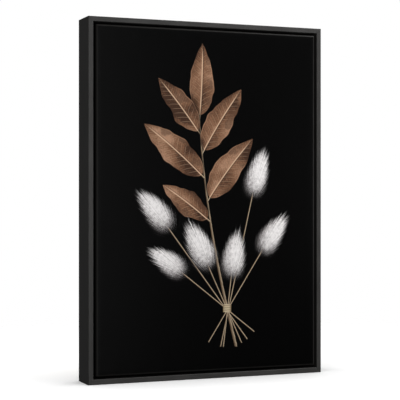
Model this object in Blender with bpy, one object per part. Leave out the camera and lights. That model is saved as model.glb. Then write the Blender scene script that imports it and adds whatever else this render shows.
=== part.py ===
"""A stretched canvas print in a black floater frame, as it hangs.

Units are metres. X runs to the right of someone facing the print, the print faces -Y, and Z is up. The pads
on the back touch the plane y = 0. The origin is in that plane, where the hook carries the hanger's middle
notch.
"""

import math

import bmesh
import bpy
from mathutils import Matrix, Vector

INCH = 0.0254

# Driving sizes: an 18 by 26 inch canvas floats inside the frame
CANVAS_WIDTH = 18 * INCH
CANVAS_HEIGHT = 26 * INCH
RAIL_FACE = 0.0095
RAIL_DEPTH = 2.5 * INCH
FLOAT_GAP = 0.0048
HOOK_BELOW_TOP = 0.020
BUMPER_THICKNESS = 0.003

# Where one piece rests on another, or passes through it
CLEARANCE = 0.0003
MITRE_CLEARANCE = 0.0002

# The L-section rail
LEDGE_THICKNESS = 0.0095
LEDGE_OVER_CANVAS = 0.018
RAIL_EDGE_RADIUS = 0.0008

# The canvas sheet, and the wrap that goes round the bars
SHEET_THICKNESS = 0.0006
WRAP_FRONT_RADIUS = 0.0036
WRAP_BACK_RADIUS = 0.0014
WRAP_CORNER_RADIUS = 0.0012
LEAST_CORNER_RADIUS = 0.0006
FLAP_WIDTH = 0.034

# The stretcher bars
BAR_WIDTH = 0.040
BAR_LIP = 0.006
BAR_FALL = 0.003
BAR_BACK_RADIUS = 0.0008

# The fixings
SCREW_OVER_CANVAS = 0.0095
SCREW_FROM_MIDDLE_SHORT = 0.130
SCREW_FROM_MIDDLE_LONG = 0.210
SCREW_HEAD_RADIUS = 0.0036
SCREW_HEAD_HEIGHT = 0.0019
SCREW_SHANK_RADIUS = 0.0016
SCREW_LENGTH = 0.028
SCREW_HOLE_RADIUS = 0.0020
SCREW_HOLE_SPARE = 0.001
POINT_RADIUS = 0.0003
RECESS_REACH = 0.0019
RECESS_ARM = 0.00045
RECESS_DEPTH = 0.0011

# The serrated hanger
HANGER_LENGTH = 0.046
HANGER_TAB = 0.008
HANGER_RAMP = 0.002
HANGER_HEIGHT = 0.009
HANGER_THICKNESS = 0.0008
HANGER_BEHIND_PADS = 0.0002
TOOTH_PITCH = 0.0025
TOOTH_DEPTH = 0.0012
NAIL_HEAD_RADIUS = 0.0021
NAIL_HEAD_HEIGHT = 0.0011
NAIL_SHANK_RADIUS = 0.0007
NAIL_LENGTH = 0.0085
NAIL_HOLE_RADIUS = 0.0011

# The bumpers and the staples
BUMPER_RADIUS = 0.006
BUMPER_FROM_SIDE = 0.030
BUMPER_ABOVE_BOTTOM = 0.016
STAPLE_CROWN = 0.0105
STAPLE_WIRE_WIDTH = 0.0012
STAPLE_WIRE_HEIGHT = 0.0006
STAPLE_OVER_CANVAS = 0.027
STAPLES_ON_SHORT_SIDE = 5
STAPLES_ON_LONG_SIDE = 8
STAPLE_END_SPACE = 0.085
CORNER_STAPLE_FROM_SIDE = 0.027
CORNER_STAPLE_STEP = 0.022

# Sizes that follow from those above
OUTER_WIDTH = CANVAS_WIDTH + 2 * (RAIL_FACE + FLOAT_GAP)
OUTER_HEIGHT = CANVAS_HEIGHT + 2 * (RAIL_FACE + FLOAT_GAP)
MIDDLE_Z = HOOK_BELOW_TOP - OUTER_HEIGHT / 2
RAIL_BACK_Y = -BUMPER_THICKNESS
RAIL_FRONT_Y = RAIL_BACK_Y - RAIL_DEPTH
LEDGE_FRONT_Y = RAIL_BACK_Y - LEDGE_THICKNESS
LEDGE_REACH = RAIL_FACE + FLOAT_GAP + LEDGE_OVER_CANVAS
CANVAS_FRONT_Y = RAIL_FRONT_Y
FLAP_BACK_Y = LEDGE_FRONT_Y - CLEARANCE
BAR_FRONT_Y = CANVAS_FRONT_Y + SHEET_THICKNESS + CLEARANCE
BAR_BACK_Y = FLAP_BACK_Y - SHEET_THICKNESS - CLEARANCE
BAR_INSET = SHEET_THICKNESS + CLEARANCE
BUMPER_Y = RAIL_BACK_Y + CLEARANCE

QUARTER = math.pi / 2
# Each side of the frame: how far it is turned from the top, about Y, and whether it is a long side
SIDES = {
    "top": (0.0, False),
    "right": (QUARTER, True),
    "bottom": (2 * QUARTER, False),
    "left": (3 * QUARTER, True),
}


def clear_scene():
    for found in list(bpy.data.objects):
        bpy.data.objects.remove(found, do_unlink=True)


def material(name, colour, roughness, metallic=0.0):
    made = bpy.data.materials.new(name)
    made.use_nodes = True
    shader = made.node_tree.nodes["Principled BSDF"]
    shader.inputs["Base Color"].default_value = (*colour, 1.0)
    shader.inputs["Roughness"].default_value = roughness
    shader.inputs["Metallic"].default_value = metallic
    return made


def add_object(name, mesh, finish=None, turn=0.0, place=(0.0, 0.0, MIDDLE_Z)):
    """An object of this mesh, turned about Y and then put in its place."""
    made = bpy.data.objects.new(name, mesh)
    made.rotation_euler = (0.0, turn, 0.0)
    made.location = place
    if finish and not mesh.materials:
        mesh.materials.append(finish)
    bpy.context.scene.collection.objects.link(made)
    return made


def mesh_from(bm, name, smooth_below_degrees=35.0):
    """The closed mesh of a bmesh, with its faces pointing out and its round stretches shaded smooth."""
    bmesh.ops.recalc_face_normals(bm, faces=bm.faces)
    mesh = bpy.data.meshes.new(name)
    bm.to_mesh(mesh)
    bm.free()
    mesh.shade_smooth()
    mesh.set_sharp_from_angle(angle=math.radians(smooth_below_degrees))
    return mesh


def arc(centre, radius, start, end, steps):
    """Points of a round stretch of an outline, from one angle to another, in degrees."""
    points = []
    for step in range(steps + 1):
        angle = math.radians(start + (end - start) * step / steps)
        points.append((centre[0] + radius * math.cos(angle), centre[1] + radius * math.sin(angle)))
    return points


def dome(radius, height, rim, flat_radius, steps=3):
    """(radius, y) points of a rounded end: a straight rim, then a quarter of an ellipse up to a flat top."""
    points = [(radius, 0.0)]
    for step in range(steps + 1):
        angle = QUARTER * step / steps
        across = flat_radius + (radius - flat_radius) * math.cos(angle)
        points.append((across, rim + (height - rim) * math.sin(angle)))
    return points


def lofted_mesh(name, rings):
    """A closed skin through rings of points, with a flat face on the first ring and on the last."""
    bm = bmesh.new()
    loops = [[bm.verts.new(point) for point in ring] for ring in rings]
    count = len(loops[0])
    for near, far in zip(loops, loops[1:]):
        for index in range(count):
            after = (index + 1) % count
            bm.faces.new((near[index], near[after], far[after], far[index]))
    bm.faces.new(loops[0])
    bm.faces.new(loops[-1])
    return mesh_from(bm, name)


def mitred_mesh(name, outline, half_length, half_height):
    """A straight moulding along X with mitred ends. Its outline gives (distance in from outside, y)."""
    rings = []
    for sign in (-1, 1):
        end = half_length - MITRE_CLEARANCE
        rings.append([(sign * (end - inward), y, half_height - inward) for inward, y in outline])
    return lofted_mesh(name, rings)


def turned_mesh(name, outline, segments):
    """A solid turned about Y. Its outline gives (radius, y) from one flat end to the other."""
    angles = [2 * math.pi * index / segments for index in range(segments)]
    rings = []
    for radius, y in outline:
        rings.append([(radius * math.cos(angle), y, radius * math.sin(angle)) for angle in angles])
    return lofted_mesh(name, rings)


def cut(target, cutter):
    """Takes the cutter's shape out of the target."""
    hole = target.modifiers.new("hole", "BOOLEAN")
    hole.operation = "DIFFERENCE"
    hole.solver = "EXACT"
    hole.object = cutter


def as_cutter(found):
    found.hide_render = True
    found.display_type = "WIRE"
    return found


def side_point(side, along, inward_from_canvas, y):
    """A point on the back of one side: its distance from the side's middle, and in from the canvas's edge."""
    turn, is_long = SIDES[side]
    half = (CANVAS_WIDTH if is_long else CANVAS_HEIGHT) / 2
    local = Vector((along, y, half - inward_from_canvas))
    return Matrix.Rotation(turn, 3, "Y") @ local + Vector((0.0, 0.0, MIDDLE_Z))


def rail_outline():
    """The rail's L section: a thin wall beside the canvas, and a ledge behind it."""
    radius = RAIL_EDGE_RADIUS
    front = RAIL_FRONT_Y + radius
    return [
        (0.0, RAIL_BACK_Y),
        *arc((radius, front), radius, 180, 270, 3),
        *arc((RAIL_FACE - radius, front), radius, 270, 360, 3),
        (RAIL_FACE, LEDGE_FRONT_Y),
        (LEDGE_REACH, LEDGE_FRONT_Y),
        (LEDGE_REACH, RAIL_BACK_Y),
    ]


def bar_outline():
    """The bar's section: a rounded outer lip that carries the canvas, and a face that falls away inside."""
    front_radius = WRAP_FRONT_RADIUS - BAR_INSET
    back_radius = BAR_BACK_RADIUS
    outer = BAR_INSET
    inner = BAR_INSET + BAR_WIDTH
    return [
        *arc((outer + back_radius, BAR_BACK_Y - back_radius), back_radius, 90, 180, 2),
        *arc((outer + front_radius, BAR_FRONT_Y + front_radius), front_radius, 180, 270, 4),
        (outer + BAR_LIP, BAR_FRONT_Y),
        (inner, BAR_FRONT_Y + BAR_FALL),
        (inner, BAR_BACK_Y),
    ]


def make_mitred_set(prefix, outline, width, height, finish):
    """The four sides of a mitred rectangle. Opposite sides share a mesh."""
    short = mitred_mesh(f"{prefix} short side", outline, width / 2, height / 2)
    long = mitred_mesh(f"{prefix} long side", outline, height / 2, width / 2)
    made = []
    for side, (turn, is_long) in SIDES.items():
        made.append(add_object(f"{prefix}_{side}", long if is_long else short, finish, turn))
    return made


def wrap_stations():
    """(inset from the canvas's edge, y) along the sheet's outer skin, then back along its inner skin."""
    front, back = WRAP_FRONT_RADIUS, WRAP_BACK_RADIUS
    thick = SHEET_THICKNESS
    outer_skin = [
        *arc((front, CANVAS_FRONT_Y + front), front, 270, 180, 4),
        *arc((back, FLAP_BACK_Y - back), back, 180, 90, 2),
        (FLAP_WIDTH, FLAP_BACK_Y),
    ]
    inner_skin = [
        (FLAP_WIDTH, FLAP_BACK_Y - thick),
        *arc((back, FLAP_BACK_Y - back), back - thick, 90, 180, 2),
        *arc((front, CANVAS_FRONT_Y + front), front - thick, 180, 270, 4),
    ]
    return outer_skin + inner_skin


def rounded_rectangle(inset):
    """Points of the canvas's outline, that far in from its edge, with its corners rounded."""
    radius = max(WRAP_CORNER_RADIUS - inset, LEAST_CORNER_RADIUS)
    half_x = CANVAS_WIDTH / 2 - inset - radius
    half_z = CANVAS_HEIGHT / 2 - inset - radius
    points = []
    for quarter, (sign_x, sign_z) in enumerate(((1, 1), (-1, 1), (-1, -1), (1, -1))):
        start = 90 * quarter
        points += arc((sign_x * half_x, sign_z * half_z), radius, start, start + 90, 3)
    return points


def make_canvas(finish):
    """One sheet: its front, its four sides and the flaps behind the bars, with its back open."""
    rings = []
    for inset, y in wrap_stations():
        rings.append([(x, y, z) for x, z in rounded_rectangle(inset)])
    return add_object("canvas", lofted_mesh("canvas sheet", rings), finish)


def cylinder_cutter(name, places, radius, start_y, end_y, segments=12):
    """One helper that holds a cylinder along Y at each place."""
    bm = bmesh.new()
    for place in places:
        middle = Vector((place.x, (start_y + end_y) / 2, place.z))
        matrix = Matrix.Translation(middle) @ Matrix.Rotation(QUARTER, 4, "X")
        bmesh.ops.create_cone(
            bm,
            cap_ends=True,
            segments=segments,
            radius1=radius,
            radius2=radius,
            depth=abs(end_y - start_y),
            matrix=matrix,
        )
    return as_cutter(add_object(name, mesh_from(bm, name), place=(0.0, 0.0, 0.0)))


def cross_mesh(name, start_y, end_y):
    """A prism along Y with a cross-shaped outline, for the screws' driving recess."""
    reach, arm = RECESS_REACH, RECESS_ARM
    corner = [(reach, -arm), (reach, arm), (arm, arm)]
    outline = []
    for quarter in range(4):
        turn = Matrix.Rotation(quarter * QUARTER, 2)
        outline += [turn @ Vector(point) for point in corner]
    return lofted_mesh(name, [[(x, y, z) for x, z in outline] for y in (start_y, end_y)])


def screw_mesh():
    """A pan-head screw whose head's underside is at y = 0, pointing along -Y, with a cross recess."""
    outline = [
        (POINT_RADIUS, -SCREW_LENGTH),
        (SCREW_SHANK_RADIUS, -SCREW_LENGTH + 3 * SCREW_SHANK_RADIUS),
        (SCREW_SHANK_RADIUS, 0.0),
        *dome(SCREW_HEAD_RADIUS, SCREW_HEAD_HEIGHT, 0.4 * SCREW_HEAD_HEIGHT, 0.6 * SCREW_HEAD_RADIUS),
    ]
    blank = add_object("screw blank", turned_mesh("screw blank", outline, 12), place=(0.0, 0.0, 0.0))
    top = SCREW_HEAD_HEIGHT
    recess = cross_mesh("screw recess", top - RECESS_DEPTH, top + RECESS_DEPTH)
    recess_cutter = as_cutter(add_object("screw recess", recess, place=(0.0, 0.0, 0.0)))
    cut(blank, recess_cutter)
    graph = bpy.context.evaluated_depsgraph_get()
    mesh = bpy.data.meshes.new_from_object(blank.evaluated_get(graph))
    mesh.name = "frame screw"
    bpy.data.objects.remove(blank)
    bpy.data.objects.remove(recess_cutter)
    return mesh


def screw_places():
    """Two screws on each side, over the bars."""
    places = []
    for side, (_, is_long) in SIDES.items():
        reach = SCREW_FROM_MIDDLE_LONG if is_long else SCREW_FROM_MIDDLE_SHORT
        for along in (-reach, reach):
            places.append(side_point(side, along, SCREW_OVER_CANVAS, RAIL_BACK_Y + CLEARANCE))
    return places


def make_screws(finish):
    """The screws, and the holes they need in the rails, the canvas and the bars."""
    places = screw_places()
    mesh = screw_mesh()
    for number, place in enumerate(places, start=1):
        add_object(f"frame_screw_{number}", mesh, finish, place=place)
    deepest = RAIL_BACK_Y - SCREW_LENGTH - SCREW_HOLE_SPARE
    return cylinder_cutter("screw holes", places, SCREW_HOLE_RADIUS, BUMPER_THICKNESS, deepest)


def hanger_stations():
    """(x, y of the strip's back, z of its lower edge) along the hanger, from its left end to its right."""
    tab_y = RAIL_BACK_Y + CLEARANCE + HANGER_THICKNESS
    raised_y = -HANGER_BEHIND_PADS
    half = HANGER_LENGTH / 2
    bend = half - HANGER_TAB
    raised_half = bend - HANGER_RAMP
    teeth = int(raised_half / TOOTH_PITCH)
    stations = [(-half, tab_y, 0.0), (-bend, tab_y, 0.0), (-raised_half, raised_y, 0.0)]
    for half_step in range(-2 * teeth, 2 * teeth + 1):
        lower = -TOOTH_DEPTH if half_step % 2 else 0.0
        stations.append((half_step * TOOTH_PITCH / 2, raised_y, lower))
    stations += [(raised_half, raised_y, 0.0), (bend, tab_y, 0.0), (half, tab_y, 0.0)]
    return stations


def make_hanger(finish):
    """The strip: its ends lie on the rail, and its middle stands off it with teeth along the lower edge."""
    rings = []
    for x, back_y, lower_z in hanger_stations():
        front_y = back_y - HANGER_THICKNESS
        corners = ((back_y, HANGER_HEIGHT), (front_y, HANGER_HEIGHT), (front_y, lower_z), (back_y, lower_z))
        rings.append([(x, y, z) for y, z in corners])
    return add_object("hanger_strip", lofted_mesh("hanger strip", rings), finish, place=(0.0, 0.0, 0.0))


def make_hanger_nails(finish):
    """A round-headed nail through each end of the hanger, and the holes they need."""
    tab_back = RAIL_BACK_Y + CLEARANCE + HANGER_THICKNESS
    head_seat = tab_back + CLEARANCE
    outline = [
        (POINT_RADIUS, -NAIL_LENGTH),
        (NAIL_SHANK_RADIUS, -NAIL_LENGTH + 2 * NAIL_SHANK_RADIUS),
        (NAIL_SHANK_RADIUS, 0.0),
        *dome(NAIL_HEAD_RADIUS, NAIL_HEAD_HEIGHT, 0.2 * NAIL_HEAD_HEIGHT, 0.4 * NAIL_HEAD_RADIUS),
    ]
    mesh = turned_mesh("hanger nail", outline, 10)
    places = []
    for name, sign in (("left", -1), ("right", 1)):
        place = Vector((sign * (HANGER_LENGTH - HANGER_TAB) / 2, head_seat, HANGER_HEIGHT / 2))
        add_object(f"hanger_nail_{name}", mesh, finish, place=place)
        places.append(place)
    deepest = head_seat - NAIL_LENGTH - CLEARANCE
    return cylinder_cutter("nail holes", places, NAIL_HOLE_RADIUS, BUMPER_THICKNESS, deepest, 10)


def make_bumpers(finish):
    """A rubber pad behind each lower corner. Their flat backs lie in the plane y = 0."""
    height = BUMPER_THICKNESS - CLEARANCE
    outline = dome(BUMPER_RADIUS, height, 0.4 * height, 0.8 * BUMPER_RADIUS)
    mesh = turned_mesh("wall bumper", outline, 20)
    bottom = HOOK_BELOW_TOP - OUTER_HEIGHT
    for name, sign in (("left", -1), ("right", 1)):
        x = sign * (OUTER_WIDTH / 2 - BUMPER_FROM_SIDE)
        place = (x, BUMPER_Y, bottom + BUMPER_ABOVE_BOTTOM)
        add_object(f"wall_bumper_{name}", mesh, finish, place=place)


def staple_mesh():
    """The staple's crown, the part that shows, with its ends rounded over towards the wood."""
    bm = bmesh.new()
    size = Matrix.Diagonal((STAPLE_CROWN, STAPLE_WIRE_HEIGHT, STAPLE_WIRE_WIDTH, 1.0))
    lifted = Matrix.Translation((0.0, STAPLE_WIRE_HEIGHT / 2, 0.0))
    bmesh.ops.create_cube(bm, size=1.0, matrix=lifted @ size)
    top = STAPLE_WIRE_HEIGHT - 1e-6
    edges = [edge for edge in bm.edges if all(vert.co.y > top for vert in edge.verts)]
    bmesh.ops.bevel(bm, geom=edges, offset=STAPLE_WIRE_HEIGHT / 2, segments=2, affect="EDGES", profile=0.5)
    return mesh_from(bm, "staple")


def staple_places():
    """(place, turn) of each staple: a row along each side, and two more at each end of the short sides."""
    seat = FLAP_BACK_Y + CLEARANCE
    found = []
    for side, (turn, is_long) in SIDES.items():
        count = STAPLES_ON_LONG_SIDE if is_long else STAPLES_ON_SHORT_SIDE
        length = CANVAS_HEIGHT if is_long else CANVAS_WIDTH
        reach = length / 2 - STAPLE_END_SPACE
        for index in range(count):
            along = reach * (2 * index / (count - 1) - 1)
            found.append((side_point(side, along, STAPLE_OVER_CANVAS, seat), turn))
    for side in ("top", "bottom"):
        turn, _ = SIDES[side]
        end = CANVAS_WIDTH / 2 - CORNER_STAPLE_FROM_SIDE
        for sign in (-1, 1):
            for step_in in (0.0, CORNER_STAPLE_STEP):
                along = sign * (end - step_in)
                place = side_point(side, along, STAPLE_OVER_CANVAS, seat)
                found.append((place, turn + sign * QUARTER / 2 if step_in == 0.0 else turn))
    return found


def make_staples(finish):
    mesh = staple_mesh()
    for number, (place, turn) in enumerate(staple_places(), start=1):
        add_object(f"staple_{number:02d}", mesh, finish, turn, place)


def main():
    clear_scene()
    black_lacquer = material("black lacquered wood", (0.052, 0.052, 0.052), 0.42)
    pine = material("pine", (0.62, 0.43, 0.25), 0.6)
    printed_canvas = material("printed canvas", (0.006, 0.006, 0.006), 0.7)
    zinc = material("zinc-plated steel", (0.62, 0.62, 0.60), 0.35, 1.0)
    rubber = material("grey rubber", (0.05, 0.05, 0.05), 0.8)

    rails = make_mitred_set("rail", rail_outline(), OUTER_WIDTH, OUTER_HEIGHT, black_lacquer)
    bars = make_mitred_set("stretcher_bar", bar_outline(), CANVAS_WIDTH, CANVAS_HEIGHT, pine)
    canvas = make_canvas(printed_canvas)
    screw_holes = make_screws(zinc)
    for pierced in (*rails, canvas, *bars):
        cut(pierced, screw_holes)

    hanger = make_hanger(zinc)
    nail_holes = make_hanger_nails(zinc)
    for pierced in (hanger, rails[0]):
        cut(pierced, nail_holes)

    make_bumpers(rubber)
    make_staples(zinc)


main()
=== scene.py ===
"""The finish of a framed canvas print: black lacquered rails, a canvas on pine bars, and its fixings.

Units are metres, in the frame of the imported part: X to the right, the print faces -Y, Z up, and the pads on
the back touch y = 0. Inside the print, positions are in millimetres from the middle of the canvas.
"""

import math

import bmesh
import bpy
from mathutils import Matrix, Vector


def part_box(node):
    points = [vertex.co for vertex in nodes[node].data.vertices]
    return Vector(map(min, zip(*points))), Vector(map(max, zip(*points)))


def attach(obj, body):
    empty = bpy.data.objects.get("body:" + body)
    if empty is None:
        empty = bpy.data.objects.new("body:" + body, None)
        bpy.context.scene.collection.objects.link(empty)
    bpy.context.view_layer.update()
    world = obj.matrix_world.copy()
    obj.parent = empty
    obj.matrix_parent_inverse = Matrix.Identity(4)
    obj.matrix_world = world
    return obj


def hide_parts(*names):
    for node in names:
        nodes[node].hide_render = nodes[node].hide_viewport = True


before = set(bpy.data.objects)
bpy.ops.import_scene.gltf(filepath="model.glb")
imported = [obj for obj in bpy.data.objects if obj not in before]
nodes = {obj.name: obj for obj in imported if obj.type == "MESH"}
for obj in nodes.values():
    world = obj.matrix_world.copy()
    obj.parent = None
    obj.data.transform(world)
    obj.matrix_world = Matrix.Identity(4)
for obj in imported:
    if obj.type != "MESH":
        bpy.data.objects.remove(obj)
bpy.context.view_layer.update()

BODY = "root"
SIDE_NAMES = ("top", "bottom", "left", "right")
SCREW_COUNT = 8

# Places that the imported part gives
RAIL_LOW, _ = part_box("rail_bottom")
_, RAIL_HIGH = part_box("rail_top")
CANVAS_LOW, CANVAS_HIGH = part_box("canvas")
LEFT_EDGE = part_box("rail_left")[0].x
RAIL_FRONT_Y = RAIL_LOW.y
MIDDLE_Y = (CANVAS_LOW.y + CANVAS_HIGH.y) / 2
MIDDLE_Z = (CANVAS_LOW.z + CANVAS_HIGH.z) / 2
CANVAS_WIDTH = CANVAS_HIGH.x - CANVAS_LOW.x
CANVAS_HEIGHT = CANVAS_HIGH.z - CANVAS_LOW.z

# The camera: how far it is from the frame's near front edge, along its axis and to the right of that edge
VIEW_YAW = math.radians(21.9)
VIEW_DISTANCE = 2.340
VIEW_OFFSET = 0.2079
VIEW_LIFT = 0.0008
LENS = 113.0
SENSOR = 36.0

# The canvas sheet
SHEET_THICKNESS = 0.0006
WRAP_FRONT_RADIUS = 0.0036
WRAP_BACK_RADIUS = 0.0014
WRAP_CORNER_RADIUS = 0.0012
LEAST_CORNER_RADIUS = 0.0006
FLAP_WIDTH = 0.034
SHEET_STEP = 0.008
FRONT_SHARES = (1.0, 0.85, 0.7, 0.55, 0.42, 0.32, 0.24, 0.18, 0.13, 0.09, 0.06, 0.035)
DEPTH_SHARES = (0.25, 0.5, 0.75)
FLAP_SHARES = (0.3, 0.6, 0.85, 1.0)
CORNER_STEPS = 3
FRONT_ARC_STEPS = 7
BACK_ARC_STEPS = 4
INNERMOST_HALF_WIDTH = 0.004
SHEET_SHARP_DEGREES = 50
WEAVE_PITCH = 0.0011

# Low relief of the sheet: the doubled cloth of its corner folds, and the puckers between staples. Two places
# nearer than SAME_PLACE count as one.
SAME_PLACE = 1e-5
FOLD_LIFT = 0.0004
FOLD_LENGTH = 0.045
FOLD_RISE = 0.008
PUCKER_HEIGHT = 0.00012
PUCKER_PITCH = 0.048
PUCKER_REACH = 0.035
PUCKER_RISE = 0.01

# The turned fixings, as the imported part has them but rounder. A head is (radius, height, height of its
# straight rim, radius of its flat top). A shank is (radius, length, length of its taper). The outline of a
# cross recess is (how far its arms reach, half their width).
TURNED_SEGMENTS = 48
TURNED_SHARP_DEGREES = 35
DOME_STEPS = 8
SCREW_HEAD = (0.0036, 0.0019, 0.00076, 0.00216)
SCREW_SHANK = (0.0016, 0.028, 0.0048)
NAIL_HEAD = (0.0021, 0.0011, 0.00022, 0.00084)
NAIL_SHANK = (0.0007, 0.0085, 0.0014)
BUMPER = (0.006, 0.0027, 0.00108, 0.0048)
POINT_RADIUS = 0.0003
RECESS_DEPTH = 0.0011
RECESS_TOP = (0.0019, 0.00045)
RECESS_FLOOR = (0.0007, 0.0003)

# The stage. Each light: name, place (x, y, height above the canvas's middle), width and height, watts.
FLOOR_BELOW = 0.0005
FLOOR_SOLID = 0.6
FLOOR_REACH = 1.3
FLOOR_SEGMENTS = 96
SURROUND_LIGHT = 0.11
STUDIO_LIGHTS = (
    ("key", (1.50, -1.00, 1.75), (1.2, 1.2), 70.0),
    ("left fill", (-1.85, -0.20, 0.40), (1.2, 1.2), 4.5),
    ("front panel", (-0.20, -1.45, 0.08), (0.7, 1.5), 10.0),
    ("right fill", (1.05, -0.60, 0.05), (0.5, 0.5), 4.0),
    ("back fill", (0.9, 1.6, 0.9), (1.4, 1.4), 40.0),
)
FLOOR_LIGHT_PLACE = (0.0, -0.4)
FLOOR_LIGHT = ("floor light", (*FLOOR_LIGHT_PLACE, 4.2), (2.6, 2.6), 292.0)


def srgb(*values):
    """Linear colour of three 0 to 255 values as a screen shows them."""
    linear = []
    for value in values:
        share = value / 255
        linear.append(share / 12.92 if share <= 0.04045 else ((share + 0.055) / 1.055) ** 2.4)
    return (*linear, 1.0)


LACQUER_DARK = srgb(42, 41, 40)
LACQUER_LIGHT = srgb(54, 53, 52)
PINE_EARLY = srgb(222, 190, 146)
PINE_LATE = srgb(190, 142, 92)
PINE_KNOT = srgb(120, 76, 44)
RAW_COTTON = srgb(226, 219, 201)
RAW_COTTON_SHADE = srgb(203, 194, 172)
ZINC_DARK = srgb(176, 178, 180)
ZINC_LIGHT = srgb(214, 214, 210)
RUBBER_DARK = srgb(66, 66, 68)
RUBBER_LIGHT = srgb(84, 84, 86)
FLOOR_PAINT = srgb(240, 240, 240)
WHITE = (1.0, 1.0, 1.0, 1.0)


class Field:
    """A number that varies over a surface. Arithmetic on it adds the Math nodes that work it out."""

    def __init__(self, tree, socket):
        self.tree = tree
        self.socket = socket

    def __add__(self, other):
        return compute(self.tree, "ADD", self, other)

    def __sub__(self, other):
        return compute(self.tree, "SUBTRACT", self, other)

    def __rsub__(self, other):
        return compute(self.tree, "SUBTRACT", other, self)

    def __mul__(self, other):
        return compute(self.tree, "MULTIPLY", self, other)

    def __truediv__(self, other):
        return compute(self.tree, "DIVIDE", self, other)

    def __pow__(self, other):
        return compute(self.tree, "POWER", self, other)

    def __abs__(self):
        return compute(self.tree, "ABSOLUTE", self)


def compute(tree, operation, *values):
    """The result of one Math node."""
    node = tree.nodes.new("ShaderNodeMath")
    node.operation = operation
    for index, value in enumerate(values):
        feed(tree, value, node.inputs[index])
    return Field(tree, node.outputs[0])


def feed(tree, value, socket):
    """Links a field to a socket, or sets the socket to a constant."""
    if isinstance(value, Field):
        tree.links.new(value.socket, socket)
    else:
        socket.default_value = value


def ramp(value, start, end, low=0.0, high=1.0):
    """Goes smoothly from low, where value is start, to high, where it is end, and stays there."""
    node = value.tree.nodes.new("ShaderNodeMapRange")
    node.interpolation_type = "SMOOTHSTEP"
    node.clamp = False
    for socket, given in zip(node.inputs, (value, start, end, low, high)):
        feed(value.tree, given, socket)
    return Field(value.tree, node.outputs[0])


def combine(tree, x, y, z):
    """A vector of three fields or numbers."""
    node = tree.nodes.new("ShaderNodeCombineXYZ")
    for socket, value in zip(node.inputs, (x, y, z)):
        feed(tree, value, socket)
    return Field(tree, node.outputs[0])


def separate(vector):
    """The three fields of a vector."""
    node = vector.tree.nodes.new("ShaderNodeSeparateXYZ")
    vector.tree.links.new(vector.socket, node.inputs[0])
    return [Field(vector.tree, socket) for socket in node.outputs]


def stretched(vector, scale):
    """The vector in units of that scale, so that a noise's features are that long each way."""
    node = vector.tree.nodes.new("ShaderNodeMapping")
    node.vector_type = "TEXTURE"
    vector.tree.links.new(vector.socket, node.inputs["Vector"])
    node.inputs["Scale"].default_value = scale
    return Field(vector.tree, node.outputs[0])


def noise(vector, scale, detail=2.0, roughness=0.5):
    """Noise from about 0.3 to 0.7, with features that are 1 / scale across."""
    node = vector.tree.nodes.new("ShaderNodeTexNoise")
    vector.tree.links.new(vector.socket, node.inputs["Vector"])
    node.inputs["Scale"].default_value = scale
    node.inputs["Detail"].default_value = detail
    node.inputs["Roughness"].default_value = roughness
    return Field(vector.tree, node.outputs[0])


def streaks(position, detail=2.0, roughness=0.5):
    """Noise along one line, with features that are 1 across."""
    node = position.tree.nodes.new("ShaderNodeTexNoise")
    node.noise_dimensions = "1D"
    feed(position.tree, position, node.inputs["W"])
    node.inputs["Scale"].default_value = 1.0
    node.inputs["Detail"].default_value = detail
    node.inputs["Roughness"].default_value = roughness
    return Field(position.tree, node.outputs[0])


def blend(under, over, mask):
    """One colour over another. Each is a field or a plain colour."""
    tree = mask.tree
    node = tree.nodes.new("ShaderNodeMix")
    node.data_type = "RGBA"
    factor, first, second = node.inputs[0], node.inputs[6], node.inputs[7]
    feed(tree, mask, factor)
    feed(tree, under, first)
    feed(tree, over, second)
    return Field(tree, node.outputs[2])


def object_point(tree):
    """The point's place in its object's frame, in metres: the part's own, but for the turned fixings."""
    node = tree.nodes.new("ShaderNodeTexCoord")
    return Field(tree, node.outputs["Object"])


def new_material(name, roughness, metallic=0.0, specular=0.5):
    """A material and its Principled shader, with what is the same all over set on its own sockets."""
    made = bpy.data.materials.new(name)
    made.use_nodes = True
    shader = made.node_tree.nodes["Principled BSDF"]
    shader.inputs["Roughness"].default_value = roughness
    shader.inputs["Metallic"].default_value = metallic
    shader.inputs["Specular IOR Level"].default_value = specular
    return made, shader


def bump(tree, shader, height, depth):
    """Relief on the shader, where height is a field from 0 to 1 and depth is in metres."""
    node = tree.nodes.new("ShaderNodeBump")
    node.inputs["Strength"].default_value = 1.0
    node.inputs["Distance"].default_value = depth
    tree.links.new(height.socket, node.inputs["Height"])
    tree.links.new(node.outputs[0], shader.inputs["Normal"])


def weave(point, pitch):
    """Height of a plain weave in the XZ plane: threads over and under each other."""
    x, _, z = separate(point)
    turn = 2 * math.pi / pitch
    across = compute(point.tree, "SINE", x * turn)
    along = compute(point.tree, "SINE", z * turn)
    return across * along * 0.5 + 0.5


def lacquer_material(long_axis):
    """Satin black lacquer over wood, whose pores run along the rail."""
    made, shader = new_material(f"black lacquer along {long_axis}", 0.5, specular=0.22)
    tree = made.node_tree
    point = object_point(tree)
    pore_size = (0.05, 0.004, 0.004) if long_axis == "X" else (0.004, 0.004, 0.05)
    pores = noise(stretched(point, pore_size), 2.0, 4.0, 0.6)
    cloud = noise(point, 14.0, 2.0)
    tone = ramp(cloud * 0.5 + pores * 0.6, 0.35, 0.80)
    colour = blend(LACQUER_DARK, LACQUER_LIGHT, tone)
    tree.links.new(colour.socket, shader.inputs["Base Color"])
    tree.links.new(ramp(cloud, 0.3, 0.7, 0.47, 0.51).socket, shader.inputs["Roughness"])
    bump(tree, shader, pores, 0.00008)
    return made


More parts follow.
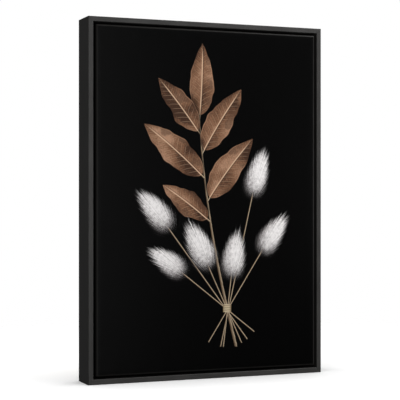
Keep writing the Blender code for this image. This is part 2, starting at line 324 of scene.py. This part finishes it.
def pine_material(long_axis):
    """Planed pine: growth rings cut lengthways, fine fibres and a few knots."""
    made, shader = new_material(f"pine along {long_axis}", 0.62, specular=0.3)
    tree = made.node_tree
    point = object_point(tree)
    x, y, z = separate(point)
    along, across = (x, z) if long_axis == "X" else (z, x)
    wander = noise(combine(tree, along * 2.2, across * 9.0, y * 9.0), 1.0, 2.0)
    rings = compute(tree, "SINE", (across + y * 0.7 + wander * 0.05) * 950.0)
    late = ramp(rings, 0.1, 1.0)
    fibres = noise(combine(tree, along * 25.0, across * 1600.0, y * 1600.0), 1.0, 3.0)
    spots = noise(combine(tree, along * 17.0, across * 38.0, y * 38.0), 1.0, 0.0)
    knots = ramp(spots, 0.77, 0.81) * 0.7
    colour = blend(PINE_EARLY, PINE_LATE, late * 0.6 + ramp(fibres, 0.35, 0.75) * 0.3)
    colour = blend(colour, PINE_KNOT, knots)
    tree.links.new(colour.socket, shader.inputs["Base Color"])
    bump(tree, shader, fibres, 0.0001)
    return made


def steel_material():
    """Bright zinc plate, with faint cloudy patches."""
    made, shader = new_material("zinc-plated steel", 0.3, metallic=1.0)
    tree = made.node_tree
    point = object_point(tree)
    patches = noise(point, 260.0, 3.0)
    colour = blend(ZINC_DARK, ZINC_LIGHT, ramp(patches, 0.3, 0.7))
    tree.links.new(colour.socket, shader.inputs["Base Color"])
    tree.links.new(ramp(patches, 0.3, 0.7, 0.38, 0.24).socket, shader.inputs["Roughness"])
    bump(tree, shader, noise(point, 4000.0, 2.0), 0.000008)
    return made


def rubber_material():
    """Matt grey rubber with a fine grain."""
    made, shader = new_material("grey rubber", 0.7, specular=0.3)
    tree = made.node_tree
    grain = noise(object_point(tree), 1800.0, 3.0)
    colour = blend(RUBBER_DARK, RUBBER_LIGHT, ramp(grain, 0.3, 0.7))
    tree.links.new(colour.socket, shader.inputs["Base Color"])
    bump(tree, shader, grain, 0.00006)
    return made


def raw_canvas_material():
    """The unprinted inside of the cloth: natural cotton with slubs and its weave."""
    made, shader = new_material("raw cotton canvas", 0.9, specular=0.15)
    tree = made.node_tree
    point = object_point(tree)
    slubs_across = noise(stretched(point, (0.012, 1.0, 0.0006)), 1.0, 2.0)
    slubs_along = noise(stretched(point, (0.0006, 1.0, 0.012)), 1.0, 2.0)
    threads = weave(point, WEAVE_PITCH)
    tone = ramp(slubs_across + slubs_along, 0.8, 1.3) * 0.6 + threads * 0.35
    colour = blend(RAW_COTTON, RAW_COTTON_SHADE, tone)
    tree.links.new(colour.socket, shader.inputs["Base Color"])
    bump(tree, shader, threads, 0.0002)
    return made


# The print: a leafy branch and pale grass heads, dried and tied with string, on a black ground
GROUND = srgb(2, 2, 2)
# A painted highlight: grey laid over the print's black on the rounded folded edges of the canvas
PAINTED_FOLD_HIGHLIGHT = srgb(29, 28, 27)
PRIMED = srgb(232, 230, 224)
LEAF_DARK = srgb(62, 43, 33)
LEAF_MID = srgb(112, 80, 60)
LEAF_LIGHT = srgb(164, 127, 102)
LEAF_RIB = srgb(196, 164, 136)
TAIL_SHADE = srgb(104, 98, 98)
TAIL_LIGHT = srgb(232, 229, 228)
STEM_SHADE = srgb(84, 66, 50)
STEM_LIGHT = srgb(176, 158, 134)
STRING_LIGHT = srgb(206, 190, 160)
STRING_SHADE = srgb(120, 102, 78)
TIE = (38.0, -210.0)
STEM_BELOW_TIE = 76.0
BRANCH_RISE = 366.0
BRANCH_LEAN = -92.0
BRANCH_BOW = 34.0
PETIOLE = 9.0
VEIN_SPACING = 10.5
STRING_PITCH = 3.4
STRING_HALF_HEIGHT = 8.2
STRING_HALF_WIDTH = 9.0
LEAF_SEED_STEP = 5.1
TAIL_SEED_STEP = 7.3
FRONT_TAIL_SEED = 60.0

# Where the painted highlight on the folded edges fades out towards the back, and where the print ends on the
# flaps, in metres
FOLD_HIGHLIGHT_FADE_DEPTH = 0.012
FOLD_HIGHLIGHT_FULL_DEPTH = 0.002
BLEED_ON_BACK = 0.024
BLEED_SOFTNESS = 0.0004
BLEED_RAGGED = 0.0012

# Each grass head: angle of its stem at the tie (degrees from upright, clockwise), stem length above the tie,
# length and half width of the head, how far it bends, and how far its stem passes beside the tie
BACK_TAILS = (
    (-37.0, 206.0, 84.0, 22.0, -6.0, 3.0),
    (13.0, 236.0, 84.0, 21.0, 5.0, -3.0),
)
FRONT_TAILS = (
    (-52.0, 122.0, 76.0, 20.0, -6.0, 2.0),
    (33.0, 140.0, 80.0, 21.0, 6.0, -2.0),
    (-25.0, 98.0, 88.0, 24.0, -3.0, 1.0),
    (7.0, 70.0, 82.0, 22.0, 3.0, -1.0),
)
# Each leaf: how far up the branch it grows, its angle off the branch, its length and half width, how far it
# bends, and how pale it is
LEAVES = (
    (1.00, 9.0, 138.0, 26.0, -7.0, 0.04),
    (0.92, -31.0, 128.0, 25.0, -8.0, -0.07),
    (0.82, 35.0, 142.0, 28.0, 10.0, 0.02),
    (0.69, -39.0, 152.0, 29.0, -12.0, 0.06),
    (0.57, 42.0, 146.0, 29.0, 12.0, -0.05),
    (0.46, -41.0, 112.0, 24.0, -8.0, -0.02),
)


def branch_point(share):
    """(x, y, angle from upright) of the branch, that share of the way from the tie to its top leaf."""
    x = TIE[0] + BRANCH_LEAN * share + BRANCH_BOW * share * share
    slope = (BRANCH_LEAN + 2 * BRANCH_BOW * share) / BRANCH_RISE
    return x, TIE[1] + BRANCH_RISE * share, math.degrees(math.atan(slope))


def motif_group(name, draw, settings):
    """A node group that draws one kind of motif over the colour under it, at (x, y) in millimetres."""
    tree = bpy.data.node_groups.new(name, "ShaderNodeTree")
    tree.interface.new_socket("under", in_out="INPUT", socket_type="NodeSocketColor")
    for setting in ("x", "y", *settings):
        tree.interface.new_socket(setting, in_out="INPUT", socket_type="NodeSocketFloat")
    tree.interface.new_socket("colour", in_out="OUTPUT", socket_type="NodeSocketColor")
    given = tree.nodes.new("NodeGroupInput")
    result = tree.nodes.new("NodeGroupOutput")
    fields = [Field(tree, given.outputs[setting]) for setting in ("under", "x", "y", *settings)]
    tree.links.new(draw(*fields).socket, result.inputs["colour"])
    return tree


def draw_motif(group, under, x, y, *settings):
    """The colour under the motif with the motif drawn over it."""
    node = x.tree.nodes.new("ShaderNodeGroup")
    node.node_tree = group
    for socket, value in zip(node.inputs, (under, x, y, *settings)):
        feed(x.tree, value, socket)
    return Field(x.tree, node.outputs[0])


HEAD_SETTINGS = ("base x", "base y", "ahead x", "ahead y", "stem", "length", "width", "bend", "seed")


def heading(angle):
    """(x, y) of a step of 1 at that angle, in degrees clockwise from upright."""
    turn = math.radians(90.0 - angle)
    return math.cos(turn), math.sin(turn)


def head_place(x, y, base_x, base_y, ahead_x, ahead_y, length, bend):
    """(u, v) in a head's own frame: u runs from 0 at its base to 1 at its tip, v is off its bent axis."""
    from_x = x - base_x
    from_y = y - base_y
    u = (from_x * ahead_x + from_y * ahead_y) / length
    v = (from_y * ahead_x - from_x * ahead_y) / length
    past_base = compute(x.tree, "MAXIMUM", u, 0.0)
    return u, v + past_base * past_base * bend / length


def between_ends(value):
    """The value, kept just above 0 and just below 1."""
    return compute(value.tree, "MINIMUM", compute(value.tree, "MAXIMUM", value, 0.0001), 0.9999)


def stem_layer(under, u, v, below, length, thickness):
    """A thin round stem that starts below the head's base and runs up into the head."""
    from_end = u * length + below
    reach = ramp(from_end, 0.0, 2.0) * ramp(u, 0.75, 0.35)
    off = v * length / thickness
    shade = ramp(off, 0.9, -0.7)
    return blend(under, blend(STEM_SHADE, STEM_LIGHT, shade), ramp(abs(off), 1.15, 0.75) * reach)


def draw_branch(under, x, y):
    """The branch, thinner towards its top, with a light side and an uneven bark."""
    share = (y - TIE[1]) / BRANCH_RISE
    rise = compute(x.tree, "MAXIMUM", share, 0.0)
    off = x - (share * BRANCH_LEAN + rise * rise * BRANCH_BOW + TIE[0])
    bark = streaks(y * 0.12 + x * 0.15, 3.0)
    girth = ramp(share, -0.25, 1.0, 2.9, 1.3) * (bark * 0.5 + 0.75)
    lit = off / girth
    foot = TIE[1] - STEM_BELOW_TIE
    reach = ramp(y, foot, foot + 2.0) * ramp(share, 1.03, 1.01)
    colour = blend(STEM_SHADE, STEM_LIGHT, ramp(lit, -0.9, 0.9) * (bark * 0.9 + 0.2))
    return blend(under, colour, ramp(abs(lit), 1.1, 0.8) * reach)


def draw_leaf(
    under, x, y, base_x, base_y, ahead_x, ahead_y, stem, length, width, bend, seed, paleness, lit_side
):
    """A dried leaf: a pale rib, side veins that sweep towards the tip, and a wavy edge that curls up."""
    tree = x.tree
    point = object_point(tree)
    u, v = head_place(x, y, base_x, base_y, ahead_x, ahead_y, length, bend)
    under = stem_layer(under, u, v, stem, length, 1.4)

    inside = between_ends(u)
    side = ramp(v, -0.001, 0.001)
    wave = streaks(u * 4.0 + side * 7.3 + seed, 1.0) * 0.44 + 0.78
    half = (inside ** 0.62) * ((1.0 - inside) ** 0.92) * wave * width / length * 2.75
    off = abs(v)
    share = off / half
    shadow = ramp(share, 1.55, 0.95) * ramp(u, -0.02, 0.06) * 0.75
    under = blend(under, GROUND, shadow)
    mask = ramp((1.0 - share) * width, 0.0, 1.5) * ramp(u, 0.0, 0.004) * ramp(u, 1.0, 0.996)

    swept = u - off * 0.9 + off * off * 1.5
    phase = compute(tree, "FRACT", swept * length / VEIN_SPACING + side * 0.5)
    vein = ramp(abs(phase - 0.5), 0.09, 0.0) * ramp(share, 1.0, 0.5)
    bulge = ramp(phase, 0.5, 1.0) - ramp(phase, 0.0, 0.5)
    grain = streaks(swept * length * 0.8 + side * 19.0 + seed, 4.0, 0.7)
    speckle = noise(point, 420.0, 3.0, 0.6)
    mottle = noise(point, 34.0, 3.0, 0.6)
    buckle = noise(point, 17.0, 0.0)

    tilt = (side - 0.5) * lit_side
    tone = tilt * (share * -0.9 + 0.55) * 0.8 + (buckle - 0.5) * 1.6 + (mottle - 0.5) * 1.3
    tone = tone + (grain - 0.5) * 0.5 + (speckle - 0.5) * 0.8 + bulge * 0.07 + (paleness + 0.40)
    colour = blend(LEAF_DARK, LEAF_MID, ramp(tone, 0.0, 0.42))
    colour = blend(colour, LEAF_LIGHT, ramp(tone, 0.36, 0.95))
    colour = blend(colour, LEAF_RIB, vein * 0.34)
    colour = blend(colour, LEAF_DARK, ramp(mottle + share * 0.12, 0.60, 0.72) * 0.6)
    colour = blend(colour, LEAF_LIGHT, ramp(share, 0.88, 0.97) * ramp(buckle, 0.4, 0.6) * 0.7)
    from_rib = v * length
    colour = blend(colour, LEAF_DARK, ramp(abs(from_rib + 2.0), 1.6, 0.3) * 0.45)
    colour = blend(colour, LEAF_RIB, ramp(abs(from_rib), 1.5, 0.5) * ramp(u, 0.98, 0.75))
    return blend(under, colour, mask)


def draw_tail(under, x, y, base_x, base_y, ahead_x, ahead_y, stem, length, width, bend, seed):
    """An egg-shaped grass head: a soft round body in fine hair that fans out from its base."""
    point = object_point(x.tree)
    u, v = head_place(x, y, base_x, base_y, ahead_x, ahead_y, length, bend)
    under = stem_layer(under, u, v, stem, length, 1.1)
    tufts = noise(point, 150.0, 2.0, 0.6)
    fleck = noise(point, 700.0, 2.0, 0.6)
    fan = (v + (tufts - 0.5) * 0.05) / (abs(u + 0.4) + 0.05)
    hair = streaks(fan * 58.0 + seed, 3.0, 0.7)
    wisp = streaks(fan * 19.0 - seed, 1.0)
    mid = (u - 0.44) * 1.9
    off = v * length / width
    narrow = off * (mid * 0.28 + 1.0)
    from_middle = (mid * mid + narrow * narrow) ** 0.5
    share = from_middle / (hair * 0.5 + wisp * 0.3 + 0.6)
    under = blend(under, GROUND, ramp(from_middle, 1.25, 0.9) * 0.7)
    mask = ramp(share, 1.22, 0.72) * ramp(hair + (1.0 - share) * 0.5, 0.30, 0.58)
    lit = 0.78 - from_middle * from_middle * 0.42 - off * 0.16 + mid * 0.12
    tone = lit + (hair - 0.5) * 1.6 + (tufts - 0.5) * 0.8 + (fleck - 0.5) * 0.3
    return blend(under, blend(TAIL_SHADE, TAIL_LIGHT, ramp(tone, 0.05, 0.95)), mask)


def draw_string(under, x, y):
    """Turns of string round the stems, at the tie."""
    across = x - TIE[0]
    up = y - TIE[1] + across * 0.09
    round_row = ramp(abs(compute(x.tree, "FRACT", up / STRING_PITCH + 0.5) - 0.5), 0.5, 0.1)
    lay = ramp(streaks(across * 1.3 + up * 1.3, 1.0), 0.35, 0.65)
    bulging = abs(up + across * across * 0.004)
    mask = ramp(bulging, STRING_HALF_HEIGHT, STRING_HALF_HEIGHT - 0.8)
    mask = mask * ramp(abs(across), STRING_HALF_WIDTH, STRING_HALF_WIDTH - 0.8)
    lit = round_row * (lay * 0.4 + 0.6) * ramp(abs(across), STRING_HALF_WIDTH + 0.5, 3.0)
    return blend(under, blend(STRING_SHADE, STRING_LIGHT, lit), mask)


def leaf_settings(share_up, off_branch, length, width, bend, paleness, seed):
    """A leaf starts at the end of its short stem, off the branch. The light comes from above."""
    x, y, branch_angle = branch_point(share_up)
    ahead_x, ahead_y = heading(branch_angle + off_branch)
    base = (x + PETIOLE * ahead_x, y + PETIOLE * ahead_y)
    lit_side = -1.0 if off_branch < 0 else 1.0
    return (*base, ahead_x, ahead_y, PETIOLE, length, width, bend, seed, paleness, lit_side)


def tail_settings(angle, stem, length, width, bend, beside, seed):
    """A grass head's stem passes beside the tie and goes on below it."""
    ahead_x, ahead_y = heading(angle)
    base_x = TIE[0] + stem * ahead_x - beside * ahead_y
    base_y = TIE[1] + stem * ahead_y + beside * ahead_x
    return base_x, base_y, ahead_x, ahead_y, stem + STEM_BELOW_TIE, length, width, bend, seed


def design_colour(tree, point):
    """The whole printed picture, from its back layers to its front ones."""
    across, _, up = separate(point)
    x = across * 1000.0
    y = (up - MIDDLE_Z) * 1000.0
    tail = motif_group("grass head", draw_tail, HEAD_SETTINGS)
    leaf = motif_group("leaf", draw_leaf, (*HEAD_SETTINGS, "paleness", "lit side"))
    branch = motif_group("branch", draw_branch, ())
    string = motif_group("string", draw_string, ())
    picture = GROUND
    for number, motif in enumerate(BACK_TAILS):
        picture = draw_motif(tail, picture, x, y, *tail_settings(*motif, TAIL_SEED_STEP * number))
    picture = draw_motif(branch, picture, x, y)
    for number, motif in enumerate(LEAVES):
        picture = draw_motif(leaf, picture, x, y, *leaf_settings(*motif, LEAF_SEED_STEP * number))
    for number, motif in enumerate(FRONT_TAILS):
        seed = FRONT_TAIL_SEED + TAIL_SEED_STEP * number
        picture = draw_motif(tail, picture, x, y, *tail_settings(*motif, seed))
    return draw_motif(string, picture, x, y)


def print_material():
    """The outside of the cloth: the print, its black edges that wrap the bars with a painted highlight on
    their rounded front, and the primed flaps.
    """
    made, shader = new_material("printed canvas", 0.34, specular=0.05)
    tree = made.node_tree
    point = object_point(tree)
    x, y, z = separate(point)
    from_left_right = CANVAS_WIDTH / 2 - abs(x)
    from_top_bottom = CANVAS_HEIGHT / 2 - abs(z - MIDDLE_Z)
    inset = compute(tree, "MINIMUM", from_left_right, from_top_bottom)

    colour = design_colour(tree, point)
    # Painted highlight: grey over the print on the rounded folded edges, fading out along the sides towards
    # the back
    fold_highlight = ramp(inset, WRAP_FRONT_RADIUS * 1.15, WRAP_FRONT_RADIUS * 0.7)
    fold_highlight = fold_highlight * ramp(y - CANVAS_LOW.y, FOLD_HIGHLIGHT_FADE_DEPTH, FOLD_HIGHLIGHT_FULL_DEPTH)
    colour = blend(colour, PAINTED_FOLD_HIGHLIGHT, fold_highlight)
    ragged = noise(point, 300.0, 2.0) * BLEED_RAGGED
    on_back = ramp(y, CANVAS_HIGH.y - 0.002, CANVAS_HIGH.y - 0.001)
    past_bleed = ramp(inset + ragged, BLEED_ON_BACK, BLEED_ON_BACK + BLEED_SOFTNESS)
    colour = blend(colour, PRIMED, past_bleed * on_back)
    tree.links.new(colour.socket, shader.inputs["Base Color"])

    slubs = noise(stretched(point, (0.010, 1.0, 0.0015)), 1.0, 2.0)
    bump(tree, shader, weave(point, WEAVE_PITCH) * 0.5 + slubs * 0.5, 0.00006)
    return made


def rounded_rectangle(inset):
    """Points of the canvas's outline that far in from its edge, in even steps, round its own middle."""
    radius = max(WRAP_CORNER_RADIUS - inset, LEAST_CORNER_RADIUS)
    half_x = CANVAS_WIDTH / 2 - inset - radius
    half_z = CANVAS_HEIGHT / 2 - inset - radius
    steps_x = round(CANVAS_WIDTH / SHEET_STEP)
    steps_z = round(CANVAS_HEIGHT / SHEET_STEP)
    points = []
    corners = ((1, 1, steps_x), (-1, 1, steps_z), (-1, -1, steps_x), (1, -1, steps_z))
    for quarter, (sign_x, sign_z, steps) in enumerate(corners):
        for step in range(CORNER_STEPS + 1):
            angle = math.radians(90 * quarter + 90 * step / CORNER_STEPS)
            x = sign_x * half_x + radius * math.cos(angle)
            z = sign_z * half_z + radius * math.sin(angle)
            points.append(Vector((x, 0.0, z)))
        next_x, next_z, _ = corners[(quarter + 1) % 4]
        end_angle = math.radians(90 * quarter + 90)
        end = Vector((next_x * half_x, 0.0, next_z * half_z))
        end += Vector((radius * math.cos(end_angle), 0.0, radius * math.sin(end_angle)))
        start = points[-1]
        for step in range(1, steps):
            points.append(start.lerp(end, step / steps))
    return points


def arc_stations(centre, radius, start, end, steps):
    """(inset, y) along a round stretch of the wrap, with angles in degrees."""
    found = []
    for step in range(steps + 1):
        angle = math.radians(start + (end - start) * step / steps)
        found.append((centre[0] + radius * math.cos(angle), centre[1] + radius * math.sin(angle)))
    return found


def sheet_stations():
    """(inset, y) from the middle of the front, out to its edge, along the sides and onto the backs."""
    front_y, back_y = CANVAS_LOW.y, CANVAS_HIGH.y
    front, back = WRAP_FRONT_RADIUS, WRAP_BACK_RADIUS
    far_in = CANVAS_WIDTH / 2 - INNERMOST_HALF_WIDTH
    stations = []
    for share in FRONT_SHARES:
        stations.append((front + (far_in - front) * share, front_y))
    stations += arc_stations((front, front_y + front), front, 270, 180, FRONT_ARC_STEPS)
    for share in DEPTH_SHARES:
        stations.append((0.0, front_y + front + (back_y - back - front_y - front) * share))
    stations += arc_stations((back, back_y - back), back, 180, 90, BACK_ARC_STEPS)
    for share in FLAP_SHARES:
        stations.append((back + (FLAP_WIDTH - back) * share, back_y))
    return stations


def edge_distances(point):
    """How far the point is from the canvas's nearer side, and from the nearer of its top and bottom."""
    return CANVAS_WIDTH / 2 - abs(point.x), CANVAS_HEIGHT / 2 - abs(point.z)


def pucker(point, inset):
    """How far the cloth's front rises between two staples, dying out away from the edge."""
    past_fold = inset - WRAP_FRONT_RADIUS
    if past_fold < 0.0:
        return 0.0
    from_side, from_end = edge_distances(point)
    along = point.z if from_side < from_end else point.x
    fade = math.exp(-past_fold / PUCKER_REACH) * min(1.0, past_fold / PUCKER_RISE)
    return PUCKER_HEIGHT * fade * math.cos(2 * math.pi * along / PUCKER_PITCH)


def fold_lift(point, inset, y):
    """The end of the top and bottom flaps lies over the side flaps, so it stands up by the folded cloth."""
    on_flap = y > CANVAS_HIGH.y - SAME_PLACE
    from_side, from_end = edge_distances(point)
    if not on_flap or from_end >= from_side or from_side < inset + LEAST_CORNER_RADIUS:
        return 0.0
    past_fold = from_side - inset
    return FOLD_LIFT * max(0.0, 1.0 - past_fold / FOLD_LENGTH) * min(1.0, inset / FOLD_RISE)


def sheet_rings():
    """Rings of points from the middle of the sheet's front to the cut edge of its flaps."""
    rings = []
    for inset, y in sheet_stations():
        ring = []
        for point in rounded_rectangle(inset):
            relief = fold_lift(point, inset, y)
            if y < MIDDLE_Y:
                relief -= pucker(point, inset)
            ring.append((point.x, y + relief, point.z + MIDDLE_Z))
        rings.append(ring)
    return rings


def add_object(name, data):
    """A new object in the scene."""
    made = bpy.data.objects.new(name, data)
    bpy.context.scene.collection.objects.link(made)
    return made


def skin_mesh(name, rings, closed_ends, sharp_degrees):
    """A skin through rings of points. A flat face closes each ring whose number is in closed_ends."""
    bm = bmesh.new()
    loops = [[bm.verts.new(point) for point in ring] for ring in rings]
    count = len(loops[0])
    for near, far in zip(loops, loops[1:]):
        for index in range(count):
            after = (index + 1) % count
            bm.faces.new((near[index], far[index], far[after], near[after]))
    for number in closed_ends:
        bm.faces.new(loops[number])
    bmesh.ops.recalc_face_normals(bm, faces=bm.faces)
    mesh = bpy.data.meshes.new(name)
    bm.to_mesh(mesh)
    bm.free()
    mesh.shade_smooth()
    mesh.set_sharp_from_angle(angle=math.radians(sharp_degrees))
    return mesh


def make_canvas():
    """The sheet: one skin, given its thickness, printed outside and raw inside."""
    mesh = skin_mesh("canvas_sheet", sheet_rings(), (0,), SHEET_SHARP_DEGREES)
    mesh.materials.append(print_material())
    mesh.materials.append(raw_canvas_material())
    sheet = add_object("canvas_sheet", mesh)
    solid = sheet.modifiers.new("thickness", "SOLIDIFY")
    solid.thickness = SHEET_THICKNESS
    solid.offset = -1.0
    solid.material_offset = 1
    solid.material_offset_rim = 1
    return sheet


def dress_canvas():
    """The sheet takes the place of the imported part's canvas."""
    sheet = make_canvas()
    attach(sheet, BODY)
    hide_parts("canvas")


def solid_mesh(name, rings):
    """A solid through rings of points, flat at both ends."""
    return skin_mesh(name, rings, (0, -1), TURNED_SHARP_DEGREES)


def turned_mesh(name, outline):
    """A solid turned about Y. Its outline gives (radius, y) from one flat end to the other."""
    rings = []
    for radius, y in outline:
        ring = []
        for index in range(TURNED_SEGMENTS):
            angle = 2 * math.pi * index / TURNED_SEGMENTS
            ring.append((radius * math.cos(angle), y, radius * math.sin(angle)))
        rings.append(ring)
    return solid_mesh(name, rings)


def dome(radius, height, rim, flat_radius):
    """(radius, y) points of a rounded head: a straight rim, then a quarter of an ellipse to a flat top."""
    points = [(radius, 0.0)]
    for step in range(DOME_STEPS + 1):
        angle = math.pi / 2 * step / DOME_STEPS
        across = flat_radius + (radius - flat_radius) * math.cos(angle)
        points.append((across, rim + (height - rim) * math.sin(angle)))
    return points


def shank(radius, length, taper):
    """(radius, y) points of a pointed shank, from its tip to the underside of its head."""
    return [(POINT_RADIUS, -length), (radius, taper - length), (radius, 0.0)]


def cross_ring(reach, arm, y):
    """The twelve corners of a cross in the XZ plane."""
    ring = []
    for quarter in range(4):
        across, along = math.cos(quarter * math.pi / 2), math.sin(quarter * math.pi / 2)
        for x, z in ((reach, -arm), (reach, arm), (arm, arm)):
            ring.append((x * across - z * along, y, x * along + z * across))
    return ring


def screw_mesh():
    """A pan-head screw, its head's underside at y = 0, with a cross recess that narrows as it goes in."""
    top = SCREW_HEAD[1]
    recess = (
        cross_ring(*RECESS_FLOOR, top - RECESS_DEPTH),
        cross_ring(*RECESS_TOP, top),
        cross_ring(*RECESS_TOP, 2 * top),
    )
    blank = add_object("screw blank", turned_mesh("screw", shank(*SCREW_SHANK) + dome(*SCREW_HEAD)))
    cutter = add_object("screw recess", solid_mesh("screw recess", recess))
    hole = blank.modifiers.new("recess", "BOOLEAN")
    hole.operation = "DIFFERENCE"
    hole.solver = "EXACT"
    hole.object = cutter
    graph = bpy.context.evaluated_depsgraph_get()
    mesh = bpy.data.meshes.new_from_object(blank.evaluated_get(graph))
    for helper in (blank, cutter):
        bpy.data.objects.remove(helper)
    return mesh


def dress_turned(mesh, head_height, node_names, finish):
    """Puts the rounder mesh in the place of each of those nodes, with its head's top where theirs is."""
    mesh.materials.append(finish)
    for node_name in node_names:
        low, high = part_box(node_name)
        piece = add_object(f"{node_name}_turned", mesh)
        piece.location = ((low.x + high.x) / 2, high.y - head_height, (low.z + high.z) / 2)
        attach(piece, BODY)
        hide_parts(node_name)


def dress_fixings(steel, rubber):
    """The screws, the hanger's nails and the pads on the back."""
    nail = turned_mesh("hanger nail", shank(*NAIL_SHANK) + dome(*NAIL_HEAD))
    pad = turned_mesh("pad", dome(*BUMPER))
    screws = [f"frame_screw_{number}" for number in range(1, SCREW_COUNT + 1)]
    nails = ("hanger_nail_left", "hanger_nail_right")
    pads = ("wall_bumper_left", "wall_bumper_right")
    dress_turned(screw_mesh(), SCREW_HEAD[1], screws, steel)
    dress_turned(nail, NAIL_HEAD[1], nails, steel)
    dress_turned(pad, BUMPER[1], pads, rubber)


def assign(node_name, finish):
    """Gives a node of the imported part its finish."""
    node = nodes[node_name]
    node.data.materials.clear()
    node.data.materials.append(finish)


def dress_nodes():
    """The rails, the bars, the staples and the hanger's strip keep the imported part's shapes."""
    lacquer = {axis: lacquer_material(axis) for axis in "XZ"}
    pine = {axis: pine_material(axis) for axis in "XZ"}
    steel = steel_material()
    for side in SIDE_NAMES:
        axis = "X" if side in ("top", "bottom") else "Z"
        assign(f"rail_{side}", lacquer[axis])
        assign(f"stretcher_bar_{side}", pine[axis])
    for name in nodes:
        if name.startswith(("staple_", "hanger_strip")):
            assign(name, steel)
    dress_fixings(steel, rubber_material())


def make_camera():
    """The camera looks level at the frame from its left, at the height of its middle."""
    ahead = Vector((math.sin(VIEW_YAW), math.cos(VIEW_YAW), 0.0))
    right = Vector((math.cos(VIEW_YAW), -math.sin(VIEW_YAW), 0.0))
    near_edge = Vector((LEFT_EDGE, RAIL_FRONT_Y, (RAIL_LOW.z + RAIL_HIGH.z) / 2 + VIEW_LIFT))
    data = bpy.data.cameras.new("camera")
    data.sensor_width = SENSOR
    data.lens = LENS
    camera = add_object("camera", data)
    camera.location = near_edge - ahead * VIEW_DISTANCE + right * VIEW_OFFSET
    camera.rotation_euler = (math.radians(90), 0.0, -VIEW_YAW)
    bpy.context.scene.camera = camera


def area_light(name, place, size, watts, aim):
    """A soft light that faces the point it is aimed at. The camera doesn't see the lamp itself."""
    x, y, above_middle = place
    data = bpy.data.lights.new(name, "AREA")
    data.shape = "RECTANGLE"
    data.size, data.size_y = size
    data.energy = watts
    light = add_object(name, data)
    light.location = (x, y, MIDDLE_Z + above_middle)
    light.rotation_euler = (Vector(aim) - light.location).to_track_quat("-Z", "Y").to_euler()
    light.visible_camera = False
    return light


def floor_material():
    """Pale matt paint that fades out round the edge of the floor."""
    made, shader = new_material("pale floor", 0.9, specular=0.1)
    tree = made.node_tree
    shader.inputs["Base Color"].default_value = FLOOR_PAINT
    x, y, _ = separate(object_point(tree))
    from_middle = compute(tree, "SQRT", x * x + y * y)
    tree.links.new(ramp(from_middle, FLOOR_REACH, FLOOR_SOLID).socket, shader.inputs["Alpha"])
    return made


def make_floor():
    """A disc that the camera sees, with the shadows on it, and that throws no light back on the frame."""
    bm = bmesh.new()
    bmesh.ops.create_circle(bm, cap_ends=True, segments=FLOOR_SEGMENTS, radius=FLOOR_REACH)
    bmesh.ops.translate(bm, verts=bm.verts, vec=(0.0, 0.0, RAIL_LOW.z - FLOOR_BELOW))
    mesh = bpy.data.meshes.new("floor")
    bm.to_mesh(mesh)
    bm.free()
    mesh.materials.append(floor_material())
    floor = add_object("floor", mesh)
    floor.visible_diffuse = False
    floor.visible_glossy = False
    return floor


def link_light(light, target, state):
    """The light reaches that object alone (INCLUDE), or all but that object (EXCLUDE)."""
    chosen = bpy.data.collections.new(f"{light.name} links")
    chosen.objects.link(target)
    chosen.collection_objects[0].light_linking.link_state = state
    light.light_linking.receiver_collection = chosen


def make_world():
    """White behind the frame, and a dim even light from all round."""
    world = bpy.data.worlds.new("white surround")
    world.use_nodes = True
    tree = world.node_tree
    tree.nodes.clear()
    seen = tree.nodes.new("ShaderNodeBackground")
    seen.inputs["Color"].default_value = WHITE
    lighting = tree.nodes.new("ShaderNodeBackground")
    lighting.inputs["Color"].default_value = WHITE
    lighting.inputs["Strength"].default_value = SURROUND_LIGHT
    path = tree.nodes.new("ShaderNodeLightPath")
    pick = tree.nodes.new("ShaderNodeMixShader")
    output = tree.nodes.new("ShaderNodeOutputWorld")
    tree.links.new(path.outputs["Is Camera Ray"], pick.inputs[0])
    tree.links.new(lighting.outputs[0], pick.inputs[1])
    tree.links.new(seen.outputs[0], pick.inputs[2])
    tree.links.new(pick.outputs[0], output.inputs[0])
    bpy.context.scene.world = world


def make_stage():
    """A pale floor under the frame's lowest edge, a white surround, and soft studio light."""
    floor = make_floor()
    make_world()
    for settings in STUDIO_LIGHTS:
        light = area_light(*settings, aim=(0.0, RAIL_FRONT_Y, MIDDLE_Z))
        link_light(light, floor, "EXCLUDE")
    overhead = area_light(*FLOOR_LIGHT, aim=(*FLOOR_LIGHT_PLACE, MIDDLE_Z))
    link_light(overhead, floor, "INCLUDE")
    bpy.context.scene.view_settings.view_transform = "Standard"


make_camera()
make_stage()
dress_nodes()
dress_canvas()
